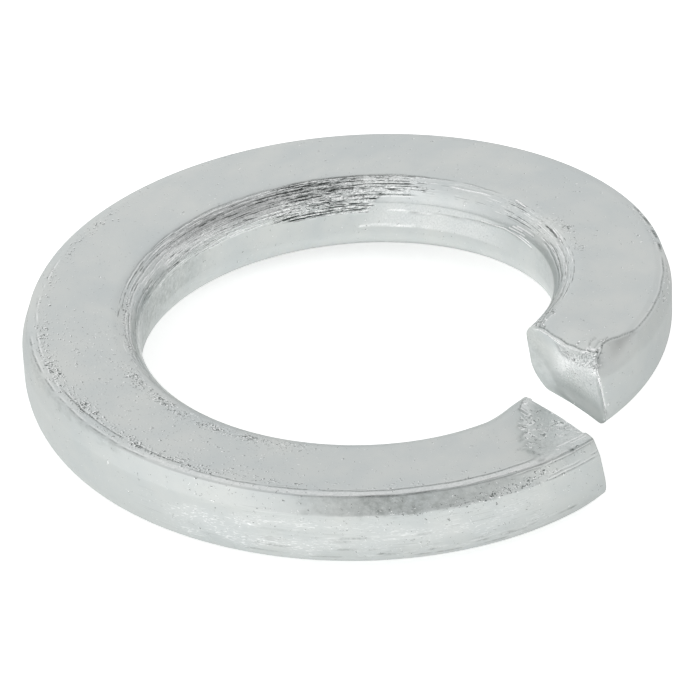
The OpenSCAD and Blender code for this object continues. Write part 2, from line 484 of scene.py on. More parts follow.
# The band of painted shade under the rim's upper edge: how far down the rim it reaches and how strong it is, at places
# along the wire
SHADE_BAND_PLACES = (50, 54, 61, 62.5, 68.8, 69.3, 71.4, 71.9, 73.4, 74.4, 76.8, 78.5, 82)
SHADE_BAND_FEET = (7.5, 7.7, 7.7, 7.3, 7.3, 8.25, 8.4, 8.4, 8.38, 8.38, 8.35, 8.1, 7.9)
SHADE_BAND_STRENGTHS = (0, 0.3, 0.35, 0, 0, 0.3, 0.4, 0.75, 0.7, 0.5, 0.4, 0.15, 0.1)


def edge_the_rim(skin):
    """The pair of lines along the rim's upper edge, and the band of painted shade that lies under them."""
    # Girth, start, end, darkness of the painted shade in it, brightness of the painted highlight beside it, width, how
    # broken
    lines = (
        (6.86, 56, 63.7, 0.7, 0.4, 0.045, 0.15), (7.0, 64.5, 79, 0.6, 0.3, 0.04, 0.1), (6.9, 68, 72, 0.3, 0.2, 0.03, 0.3),
        (7.0, 46, 56, 0.25, 0.6, 0.04, 0.4), (7.29, 52, 63, 0.55, 0.4, 0.045, 0.25),
        (7.37, 69, 82, 0.55, 0.6, 0.03, 0.12), (7.41, 71.5, 74.5, 0.6, 0, 0.035, 0), (7.55, 78, 82, 0.5, 0.4, 0.03, 0.15),
        (7.3, 2.8, 9.5, 0.6, 0.3, 0.045, 0.1), (7.35, 10.3, 14.2, 1, 0.3, 0.075, 0.48),
        (8.28, 78.8, 81.8, 0.5, 0.4, 0.03, 0.35), (8.12, 79.5, 82, 0.35, 0.3, 0.03, 0.4),
        (9.6, 69.5, 74, 0.35, 0.3, 0.025, 0.25), (9.78, 69, 72.5, 0.3, 0.3, 0.025, 0.25), (9.3, 66, 69.5, 0.2, 0.4, 0.025, 0.3),
        (10.25, 67, 74, 0.35, 0.3, 0.025, 0.35), (10.45, 75.5, 80.5, 0.6, 0.3, 0.03, 0.35),
        (10.58, 71, 78, 0.55, 0.3, 0.03, 0.4), (10.75, 66, 73, 0.4, 0.3, 0.025, 0.35), (10.9, 73, 80, 0.45, 0.3, 0.025, 0.4),
    )
    for number, (girth, start, end, dark, bright, width, broken) in enumerate(lines):
        score(skin, girth, start, end, 0.015, dark, bright, width, broken, seed=100 + 3 * number)
    ragged = 0.12 * crinkle(skin.along, skin.girth, 1.2, seed=62) + 0.08 * crinkle(skin.along, skin.girth, 0.3, seed=63)
    foot = np.interp(skin.along, SHADE_BAND_PLACES, SHADE_BAND_FEET)
    smeared = skin.along + 0.35 * crinkle(0.3 * skin.along, skin.girth, 0.5, seed=66)
    shade_strength = np.interp(smeared, SHADE_BAND_PLACES, SHADE_BAND_STRENGTHS)
    band = ease((skin.girth - 7.36) / 0.16 + 0.5) * ease((foot + ragged - skin.girth) / 0.3 + 0.5) * skin.side
    skin.mark("stain_and_shade", shade_strength * band)
    # A ragged line of painted shade along the band's foot
    foot_line = bump(skin.girth - foot - ragged, 0.06) * window(skin.along, 74.3, 77.2, 0.3) * skin.side
    skin.mark("pit_and_groove_shade", 0.5 * foot_line * ease(0.5 + crinkle(skin.along, 3 * skin.girth, 0.25, seed=64)))
    flecked = foot + 0.1 - skin.girth
    skin.mark("specked", 0.3 * window(flecked, 0, 0.5, 0.2) * window(skin.along, 72, 80, 1.5) * skin.side)
    skin.mark("burnish_and_highlight", 0.35 * window(skin.girth, 7.06, 7.32, 0.08) * window(skin.along, 62, 84, 4) * skin.side)
    scuffed = ease(0.4 + 0.8 * crinkle(skin.along, skin.girth * 2, 0.8, seed=68)) * window(skin.along, 5.5, 9.5, 1.5)
    scuffed = scuffed * window(skin.girth, 7.4, 8.2, 0.3) * skin.side
    skin.mark("curled", 0.9 * scuffed)
    skin.mark("specked", 0.5 * scuffed)
    clouds = ease(0.6 + 0.5 * crinkle(skin.along, skin.girth * 2, 2.5, seed=67))
    rubbed = window(skin.along, 63.6, 69.2, 1.6) + 0.55 * window(skin.along, 69, 79, 1.2)
    skin.mark("rubbed", 0.6 * clouds * rubbed * window(skin.girth, 8.8, 10.9, 0.8) * skin.side)


def tumble(skin):
    """Specks and dents where washers knocked against each other, thickest along the edges."""
    outer = window(skin.girth, 6.3, 7.05, 0.5)
    inner = window(skin.girth, 3.05, 3.7, 0.4)
    clusters = ease(0.5 + 0.4 * crinkle(skin.along, skin.girth * 2, 2.5, seed=71))
    thick = outer * (0.8 * window(skin.along, 54, 67, 3) + 0.3 * window(skin.along, 67, 79, 1)) + inner * window(skin.along, 55, 68, 3)
    thick = thick + 0.5 * outer * window(skin.along, 40, 54, 3) + 0.7 * inner * window(skin.along, 9, 15, 2)
    thick = thick + 0.35 * window(skin.girth, 7.5, 8.4, 0.2) * window(skin.along, 76.5, 81.5, 1)
    thick = thick + window(skin.girth, 6.95, 7.4, 0.2) * window(skin.along, 10.5, 14.5, 1)
    thick = thick + 0.12 * window(skin.girth, 7.6, 10.9, 0.4) * window(skin.along, 62, 81, 2)
    flat = 0.15 + 0.2 * window(skin.girth, 3, 7, 1) * window(skin.along, 50, 68, 4)
    skin.mark("specked", (flat + thick * (0.35 + 0.5 * clusters)) * skin.side)


# The lip beside the torn corner: the girth at which it starts, at places along the wire, and the girth and drop of
# its foot
LIP_PLACES = (0.1, 0.3, 0.55, 0.9, 1.5, 2.4, 3.1)
LIP_GIRTHS = (7.2, 7.0, 6.72, 6.56, 6.62, 6.98, 7.27)
LIP_FOOT = 8.5
LIP_DROP = 1.08
# Slope of the lip where it leaves the top, in degrees, from which it rounds over into the upright rim
LIP_SLANT = 35

# How far the shear sets the raised end's upper edge back, at places across the wire
SET_BACK_PLACES = (0, 1, 2, 3, 4, 4.9, 5.25, 5.8)
SET_BACKS = (0, 0.03, 0.08, 0.12, 0.3, 0.62, 0.3, 0)
# Length of wire over which the set-back dies away
SET_BACK_REACH = 2.2


def crop_the_raised_end(skin):
    """The dish, the burr, the crumpled corner and the tear that the shear leaves on the raised end."""
    end = skin.end(raised=True)
    face = end < 0
    across, up = skin.across.copy(), skin.up.copy()
    near = end < SET_BACK_REACH

    # The face: a dish that is deepest near the rim's upper edge and shallow on the bore's side
    reach = 2.05 + 1.15 * ease((up - 1.2) / 1.4)
    power = 2.5 - 0.5 * ease((up - 0.8) / 1.4)
    from_middle = np.hypot(np.maximum(0, 3.2 - across) / reach, np.maximum(0, 2.2 - up) / 2.2)
    depth = skin.hollow * np.clip(1 - from_middle ** power, 0, 1) * ease((5.75 - across) / 1.1) * ease((3.9 - up) / 1.3)
    skin.along = np.where(face, depth, skin.along)
    back = np.interp(across, SET_BACK_PLACES, SET_BACKS) * ease((up - 2.7) / 1.3)
    back = back + 0.13 * bump(across - 0.1, 0.7) * bump(up - 1.2, 0.8)
    back = back - 0.13 * ease((0.7 - up) / 0.7) * window(across, 0.8, 5.4, 0.8)
    fade = np.where(face, 1, np.clip(1 - end / SET_BACK_REACH, 0, 1))
    skin.along = skin.along + near * back * fade

    # Lip: the rim's upper edge is struck off at a slant, from a line that turns in towards the torn corner
    lip = sum(np.interp(end + d, LIP_PLACES, LIP_GIRTHS) for d in (-0.3, -0.15, 0, 0.15, 0.3)) / 5
    share = np.clip((skin.girth - lip) / (LIP_FOOT - lip), 0, 1)
    struck = (end >= 0) * (skin.girth > lip) * (skin.girth < LIP_FOOT) * ease((3.4 - end) / 0.5)
    head = lip - (skin.girth - skin.across)[skin.side & (skin.girth > 4.5) & (skin.girth < 5.5)].mean()
    foot = skin.rim_radius - skin.stock_radius
    rounding = np.radians(LIP_SLANT + (90 - LIP_SLANT) * share)
    start = math.radians(LIP_SLANT)
    outwards = (np.sin(rounding) - math.sin(start)) / (1 - math.sin(start))
    downwards = 1 - np.cos(rounding) / math.cos(start)
    skin.out = skin.out + struck * (skin.stock_radius + head + outwards * (foot - head) - skin.out)
    skin.up = skin.up + struck * (skin.top - downwards * LIP_DROP - skin.up)
    # A pressed line along the lip's head, and creases by the torn corner and across the top, darkened with painted
    # shade
    line = (end >= 0) * window(end, 0.1, 3.2, 0.2) * bump(skin.girth - lip, 0.045)
    skin.sink(0.05 * line)
    skin.mark("pit_and_groove_shade", 0.65 * line)
    crease(skin, [(0.05, 7.2), (0.3, 7.0), (0.55, 6.8), (0.8, 6.7)], 0.08, 0.06, 0.6)
    crease(skin, [(0.8, 6.42), (1.2, 6.36), (1.8, 6.5)], 0.04, 0.03, 0.4)
    crease(skin, [(0.45, 6.4), (0.7, 6.1), (1.0, 5.95), (1.3, 6.0)], 0.05, 0.04, 0.35)
    crease(skin, [(0.1, 2.9), (0.6, 2.72), (1.3, 2.6), (2.4, 2.45), (4.2, 2.62)], 0.05, 0.04, 0.5)
    crease(skin, [(0.5, 2.95), (1.3, 2.85), (2.2, 2.7)], 0.04, 0.02, 0.3)
    corner = (end >= 0) * window(end, -1, 1.5, 0.6) * window(skin.girth, 5.3, 6.8, 0.6)
    patches = ease(0.6 + 0.5 * crinkle(skin.along, skin.girth, 0.5, seed=5))
    skin.mark("torn", 0.5 * corner * patches)
    skin.mark("curled", 0.7 * corner * patches)
    skin.mark("burnish_and_highlight", 0.8 * (end >= 0) * bump(end - 0.22, 0.16) * window(skin.girth, 6.0, 7.0, 0.4) * patches)
    skin.mark("torn", 0.35 * (end >= 0) * window(end, -1, 4.5, 1.5) * window(skin.girth, 1.6, 3.1, 0.6))
    skin.mark("curled", 0.8 * (end >= 0) * window(end, -1, 2.4, 1) * window(skin.girth, 2.3, 3.2, 0.4))

    # Burr: ridges along the face's upper and outer edges, lit with painted highlights, each with a line of painted
    # shade behind
    wander = 0.015 * crinkle(across, up, 1.1, seed=3)
    upper = face * window(up, 2.9, 5, 0.3) * window(across, 0.8, 4.4, 0.6)
    ridge = bump(end + 0.11 + wander, 0.045 + 0.035 * bump(across - 2.4, 0.8)) * upper
    skin.along = skin.along - 0.13 * ridge
    skin.mark("burnish_and_highlight", ridge * (1 - 0.6 * ease((across - 2.4) / 0.8)))
    scratch(skin, end + 0.11 + wander, upper * window(across, 0.9, 3.2, 0.5))
    scratch(skin, end + 0.2 + 2 * wander, upper * window(across, 1.7, 2.6, 0.4))
    behind = (end >= 0) * window(across, 0.9, 4.8, 0.3) * (up > 3.4) * bump(end - 0.07 - wander, 0.045)
    skin.up = skin.up - 0.05 * behind
    skin.mark("pit_and_groove_shade", 0.65 * behind)
    outer = face * window(up, 0.4, 3.7, 0.4) * (across > 4.2)
    ridge = bump(end + 0.07 + wander, 0.04) * outer
    skin.along = skin.along - 0.1 * ridge
    skin.mark("burnish_and_highlight", ridge)
    scratch(skin, end + 0.07 + wander, outer)
    skin.mark("pit_and_groove_shade", 0.35 * bump(end + 0.2 + wander, 0.05) * outer * window(up, 1.8, 3.2, 1))

    # Bright sheared metal in the dish with a painted sheen, a dull margin beside it, and flecks of torn metal below the
    # corner, some dark with painted shade and some scratched bright
    crumple = face * window(across, 2.6, 5.6, 1.2) * window(up, 2.7, 3.95, 0.6)
    sheared = face * window(across, 1.9, 4.9, 1.2) * window(up, 0.9, 3.1, 1.2)
    skin.mark("torn", 0.2 * crumple + 0.03 * sheared)
    skin.mark("curled", 0.35 * crumple + 0.3 * sheared)
    skin.mark("burnish_and_highlight", 0.3 * crumple + 0.7 * sheared)
    skin.mark("stain_and_shade", 0.3 * face * ease((1.7 - across) / 0.8))
    corner = face * ease((across - 3.2) / 1.4) * ease((up - 2.5) / 0.9)
    corner = corner + 0.8 * (end >= 0) * bump(end, 0.35) * window(skin.girth, 6.4, 7.7, 0.4)
    corner = corner + 0.5 * face * window(across, 2.0, 3.6, 0.6) * window(up, 2.6, 3.5, 0.5)
    flecks = crinkle(across + 3 * (end >= 0) * end, up - 0.5 * across, 0.17, seed=13)
    skin.along = skin.along - 0.03 * corner * face * flecks
    scratch(skin, 0.1 * (1.3 - np.minimum(flecks, 1.3)), ease(2 * corner))
    skin.mark("pit_and_groove_shade", 0.4 * corner * ease(-1.5 * flecks - 1.6))
    skin.mark("curled", 0.45 * corner)
    skin.mark("burnish_and_highlight", 0.5 * face * window(across, 4.2, 6, 0.6) * window(up, 2.7, 4, 0.5))
    # Painted shade on the top's outer edge beside the cut
    skin.mark("pit_and_groove_shade", 0.35 * (end >= 0) * bump(end, 0.4) * window(skin.girth, 6.9, 7.6, 0.3))


# How far the sheared patch reaches from the lower end, at places across the top
PATCH_GIRTHS = (2.5, 3.5, 4.0, 4.35, 5.0, 5.9, 6.6, 7.0)
PATCH_REACHES = (0.1, 1.4, 2.1, 2.4, 2.7, 3.0, 2.9, 2.7)
# Middle and spread of the curls of torn metal on the patch, given from the end and as girth, and their strength
CURLS = (((0.4, 3.3), (0.5, 0.35), 0.7), ((1.55, 3.9), (0.55, 0.7), 1), ((2.2, 4.6), (0.3, 0.8), 1),
         ((2.6, 5.7), (0.3, 0.4), 0.8), ((0.4, 5.9), (0.5, 0.6), 0.7), ((0.4, 7.3), (0.6, 0.3), 0.7),
         ((1.1, 5.2), (1.2, 0.3), 0.7))


def crop_the_lower_end(skin):
    """The drawn-out tip, the sheared patch, its curls and its scratches on top of the lower end."""
    end = skin.end(raised=False)
    across, up = skin.across.copy(), skin.up.copy()

    # Tip: the shear squeezes the bore's upper edge up and out, towards a sharp corner
    squeezed = 0.36 * ease((3.6 - end) / 3.2) * (up > 2.4) * (across < 1.6)
    skin.out = skin.out - squeezed * across
    skin.up = skin.up + squeezed * (skin.top - up)
    beyond = 0.12 * (end < 1) * np.clip(1 - end, 0, 1) * ((across < 1.5) * (up > 2.4) + (across > 4.9))
    skin.along = skin.along + beyond

    # Patch: sheared metal behind a curved, crumpled boundary, with painted shade along the boundary and in a hollow on
    # the patch
    top = (end >= 0) * (end < 6) * (up > 3.9)
    boundary = np.interp(skin.girth, PATCH_GIRTHS, PATCH_REACHES)
    past = boundary - end + 0.08 * crinkle(across, end, 0.7, seed=8) + 0.05 * crinkle(across, end, 0.25, seed=9)
    patch = top * ease(past / 0.12) * window(across, 0.3, 5.15, 0.2)
    skin.sink(0.03 * patch)
    skin.mark("burnish_and_highlight", 0.35 * patch)
    skin.mark("specked", 0.1 * patch)
    margin = bump(past - 0.1, 0.15) * top * ease(0.5 + crinkle(across, end, 0.4, seed=10))
    skin.mark("pit_and_groove_shade", 0.35 * margin)
    skin.mark("torn", 0.02 * patch + 0.3 * margin)
    skin.mark("curled", 0.3 * patch)
    hollow = patch * bump(end - 2.3, 0.5) * bump(across - 4.1, 0.45)
    skin.sink(0.04 * hollow)
    skin.mark("stain_and_shade", hollow)
    # Folds across the patch: a crisp raised line lit with a painted highlight, and painted shade just beside it
    folds = [(1.73, 4.88), (1.5, 5.12), (1.21, 5.2), (0.95, 5.42), (0.64, 5.5), (0.4, 5.75), (0.18, 5.84), (0.1, 6.3)]
    crease(skin, [(skin.length - back, girth) for back, girth in folds], 0.035, -0.03, 0, crisp=0.96)
    crease(skin, [(skin.length - back, girth + 0.09) for back, girth in folds], 0.035, 0.025, 0.25)
    for (back, girth), (long, wide), strength in CURLS:
        skin.mark("curled", strength * (end >= 0) * bump(np.hypot((end - back) / long, (skin.girth - girth) / wide), 1))
    for girth, reach in ((6.74, 1.6), (6.94, 0.9)):
        crease(skin, [(skin.length - reach, girth), (skin.length - 0.05, girth + 0.08)], 0.035, 0.01, 0, crisp=1)
    # A short crease darkened with painted shade
    crease(skin, [(skin.length - 1.15, 7.34), (skin.length - 1.08, 7.4)], 0.07, 0.03, 1)


def straight_wire(skin):
    """Makes the skin a closed mesh with its hubs, masks and the place of each point along the wire."""
    rings, count = skin.along.shape
    place = np.stack([skin.along, skin.middle_radius - np.maximum(skin.out, skin.bore_radius), skin.up], -1)
    hub_in, hub_up = skin.middle_radius - skin.centre[0], skin.centre[1]
    hubs = [(skin.along[0].mean(), hub_in, hub_up), (skin.along[-1].mean(), hub_in, hub_up)]
    points = np.concatenate([place.reshape(-1, 3), hubs]) * MM
    first = np.arange(rings - 1)[:, None] * count + np.arange(count)[None, :]
    beside = np.arange(rings - 1)[:, None] * count + (np.arange(count)[None, :] + 1) % count
    quads = np.stack([first, first + count, beside + count, beside], -1).reshape(-1, 4)
    last = (rings - 1) * count
    step = np.arange(count)
    after = (step + 1) % count
    raised = np.column_stack([np.full(count, rings * count), step, after])
    lower = np.column_stack([np.full(count, rings * count + 1), last + after, last + step])
    mesh = bpy.data.meshes.new("straight_wire")
    mesh.from_pydata(points.tolist(), [], quads.tolist() + raised.tolist() + lower.tolist())
    mesh.shade_smooth()
    radius = skin.perimeter / (2 * math.pi)
    wire = np.stack([skin.along, skin.share * radius * np.cos(skin.angle), skin.share * radius * np.sin(skin.angle)], -1)
    wire = np.concatenate([wire.reshape(-1, 3), [(0, 0, 0), (skin.length, 0, 0)]])
    mesh.attributes.new("wire", "FLOAT_VECTOR", "POINT").data.foreach_set("vector", wire.ravel())
    for name, amount in skin.masks.items():
        values = np.concatenate([amount.ravel(), [0, 0]])
        mesh.attributes.new(name, "FLOAT", "POINT").data.foreach_set("value", values)
    return mesh


def coil_tree(material):
    """Builds the tree that gives the straight wire its relief and coils it into one askew turn."""
    tree = bpy.data.node_groups.new("coil_the_wire", "GeometryNodeTree")
    tree.interface.new_socket("Geometry", in_out="OUTPUT", socket_type="NodeSocketGeometry")
    tree.interface.new_socket("Geometry", in_out="INPUT", socket_type="NodeSocketGeometry")
    for name in ("Middle Radius", "Stock Radius", "Rim Radius", "Thickness", "Rise", "Split Direction", "Split Width",
                 "Raised Cut", "Lower Cut", "Lean", "Roll Depth", "Roll Length", "Wave Depth", "Draw Depth",
                 "Crinkle Depth"):
        tree.interface.new_socket(name, in_out="INPUT", socket_type="NodeSocketFloat")
    given = tree.nodes.new("NodeGroupInput").outputs
    geometry = add_relief(tree, given)
    geometry = coil(tree, given, geometry)
    geometry = put(tree, "GeometryNodeRealizeInstances", {"Geometry": geometry})
    geometry = put(tree, "GeometryNodeSetMaterial", {"Geometry": geometry, "Material": material})
    put(tree, "NodeGroupOutput", {"Geometry": geometry})
    return tree


def add_relief(tree, given):
    """Sinks slow waves, draw lines and crinkles into the skin, along its normals."""
    wire = put(tree, "GeometryNodeInputNamedAttribute", {"Name": "wire"}, data_type="FLOAT_VECTOR")
    drawn = put(tree, "GeometryNodeInputNamedAttribute", {"Name": "drawn"}, data_type="FLOAT")
    torn = put(tree, "GeometryNodeInputNamedAttribute", {"Name": "torn"}, data_type="FLOAT")
    stretched = put(tree, VECTOR_MATH, {0: wire, 1: (0.06, 1, 1)}, operation="MULTIPLY")
    waves = put(tree, NOISE, {"Vector": wire, "Scale": 0.35, "Detail": 1})
    lines = put(tree, NOISE, {"Vector": stretched, "Scale": 3.2, "Detail": 2})
    crinkles = put(tree, NOISE, {"Vector": wire, "Scale": 3.5, "Detail": 3})
    line_mask = put(tree, MATH, {0: drawn, 1: lines}, operation="MULTIPLY")
    crinkle_mask = put(tree, MATH, {0: torn, 1: crinkles}, operation="MULTIPLY")
    depth = put(tree, MATH, {0: waves, 1: given["Wave Depth"]}, operation="MULTIPLY")
    depth = put(tree, MATH, {0: line_mask, 1: given["Draw Depth"], 2: depth}, operation="MULTIPLY_ADD")
    depth = put(tree, MATH, {0: crinkle_mask, 1: given["Crinkle Depth"], 2: depth}, operation="MULTIPLY_ADD")
    inward = put(tree, MATH, {0: depth, 1: -1.0}, operation="MULTIPLY")
    normal = put(tree, "GeometryNodeInputNormal")
    offset = put(tree, VECTOR_MATH, {0: normal, "Scale": inward}, operation="SCALE")
    return put(tree, "GeometryNodeSetPosition", {"Geometry": given["Geometry"], "Offset": offset})


def rolled_over(tree, given, distance):
    """How much of the roll-over is left at a distance from the cut: 1 at the cut, 0 at the roll-over's length."""
    share = put(tree, MATH, {0: distance, 1: given["Roll Length"]}, operation="DIVIDE")
    left = put(tree, MATH, {0: 1.0, 1: share}, operation="SUBTRACT")
    left = put(tree, MATH, {0: left, 1: 0.0}, operation="MAXIMUM")
    return put(tree, MATH, {0: left, 1: left}, operation="MULTIPLY")


def coil(tree, given, geometry):
    """Bends the wire, which lies along X with its bore side towards +Y, into one climbing turn round Z."""
    place = put(tree, "GeometryNodeInputPosition")
    parts = put(tree, "ShaderNodeSeparateXYZ", {0: place}).node.outputs
    along, inward, up = parts[0], parts[1], parts[2]
    out = put(tree, MATH, {0: given["Middle Radius"], 1: inward}, operation="SUBTRACT")
    gap = put(tree, MATH, {0: given["Split Width"], 1: given["Middle Radius"]}, operation="DIVIDE")
    half_gap = put(tree, MATH, {0: gap, 1: 0.5}, operation="MULTIPLY")
    wire_turn = put(tree, MATH, {0: math.tau, 1: gap}, operation="SUBTRACT")
    turned = put(tree, MATH, {0: along, 1: given["Middle Radius"]}, operation="DIVIDE")
    share = put(tree, MATH, {0: turned, 1: wire_turn}, operation="DIVIDE")

    # The askew cut turns a point of the section on or back, by its distance from the middle of the wire
    raised_slope = put(tree, MATH, {0: given["Raised Cut"]}, operation="TANGENT")
    lower_slope = put(tree, MATH, {0: given["Lower Cut"]}, operation="TANGENT")
    change = put(tree, MATH, {0: lower_slope, 1: raised_slope}, operation="SUBTRACT")
    slope = put(tree, MATH, {0: change, 1: share, 2: raised_slope}, operation="MULTIPLY_ADD")
    askew = put(tree, MATH, {0: slope, 1: inward}, operation="MULTIPLY")
    lean_slope = put(tree, MATH, {0: given["Lean"]}, operation="TANGENT")
    half_thick = put(tree, MATH, {0: given["Thickness"], 1: 0.5}, operation="MULTIPLY")
    above_middle = put(tree, MATH, {0: up, 1: half_thick}, operation="SUBTRACT")
    leaning = put(tree, MATH, {0: lean_slope, 1: above_middle}, operation="MULTIPLY")
    cut = put(tree, MATH, {0: askew, 1: leaning}, operation="SUBTRACT")
    cut_turn = put(tree, MATH, {0: cut, 1: given["Middle Radius"]}, operation="DIVIDE")
    total = put(tree, MATH, {0: turned, 1: cut_turn}, operation="ADD")

    # The shear rolls the edge over, down on top of the raised end and up under the lower one
    width = put(tree, MATH, {0: given["Rim Radius"], 1: given["Stock Radius"]}, operation="SUBTRACT")
    across = put(tree, MATH, {0: out, 1: given["Stock Radius"]}, operation="SUBTRACT")
    across = put(tree, MATH, {0: across, 1: width}, operation="DIVIDE")
    across = put(tree, MATH, {0: across, 1: math.pi}, operation="MULTIPLY")
    crown = put(tree, MATH, {0: across}, operation="SINE")
    height = put(tree, MATH, {0: up, 1: given["Thickness"]}, operation="DIVIDE")
    depth = put(tree, MATH, {0: 1.0, 1: height}, operation="SUBTRACT")
    wire_length = put(tree, MATH, {0: wire_turn, 1: given["Middle Radius"]}, operation="MULTIPLY")
    left = put(tree, MATH, {0: wire_length, 1: along}, operation="SUBTRACT")
    under = put(tree, MATH, {0: depth, 1: rolled_over(tree, given, left)}, operation="MULTIPLY")
    over = put(tree, MATH, {0: height, 1: rolled_over(tree, given, along)}, operation="MULTIPLY")
    roll = put(tree, MATH, {0: under, 1: over}, operation="SUBTRACT")
    roll = put(tree, MATH, {0: roll, 1: crown}, operation="MULTIPLY")
    roll = put(tree, MATH, {0: roll, 1: given["Roll Depth"]}, operation="MULTIPLY")

    azimuth = put(tree, MATH, {0: given["Split Direction"], 1: half_gap}, operation="ADD")
    azimuth = put(tree, MATH, {0: azimuth, 1: total}, operation="ADD")
    cosine = put(tree, MATH, {0: azimuth}, operation="COSINE")
    sine = put(tree, MATH, {0: azimuth}, operation="SINE")
    x = put(tree, MATH, {0: out, 1: cosine}, operation="MULTIPLY")
    y = put(tree, MATH, {0: out, 1: sine}, operation="MULTIPLY")
    climbed = put(tree, MATH, {0: total, 1: wire_turn}, operation="DIVIDE")
    climb = put(tree, MATH, {0: 1.0, 1: climbed}, operation="SUBTRACT")
    z = put(tree, MATH, {0: given["Rise"], 1: climb, 2: up}, operation="MULTIPLY_ADD")
    z = put(tree, MATH, {0: z, 1: roll}, operation="ADD")
    coiled = put(tree, "ShaderNodeCombineXYZ", {0: x, 1: y, 2: z})
    return put(tree, "GeometryNodeSetPosition", {"Geometry": geometry, "Position": coiled})


def coiled_mesh(straight, tree, sizes):
    """Runs the tree on the straight wire with its sizes and gives the plain mesh that comes out."""
    piece = bpy.data.objects.new("lock_washer_zinc", straight)
    bpy.context.collection.objects.link(piece)
    modifier = piece.modifiers.new("Coil", "NODES")
    modifier.node_group = tree
    for item in tree.interface.items_tree:
        if item.in_out == "INPUT" and item.name in sizes:
            modifier[item.identifier] = sizes[item.name]
    evaluated = piece.evaluated_get(bpy.context.evaluated_depsgraph_get())
    mesh = bpy.data.meshes.new_from_object(evaluated)
    piece.modifiers.remove(modifier)
    piece.data = mesh
    bpy.data.meshes.remove(straight)
    return piece


def set_down(piece):
    """Moves the mesh down until its lowest point is at the bottom of the frame's box."""
    lowest = min(v.co.z for v in piece.data.vertices)
    piece.data.transform(Matrix.Translation((0, 0, cad_box[0].z - lowest)))


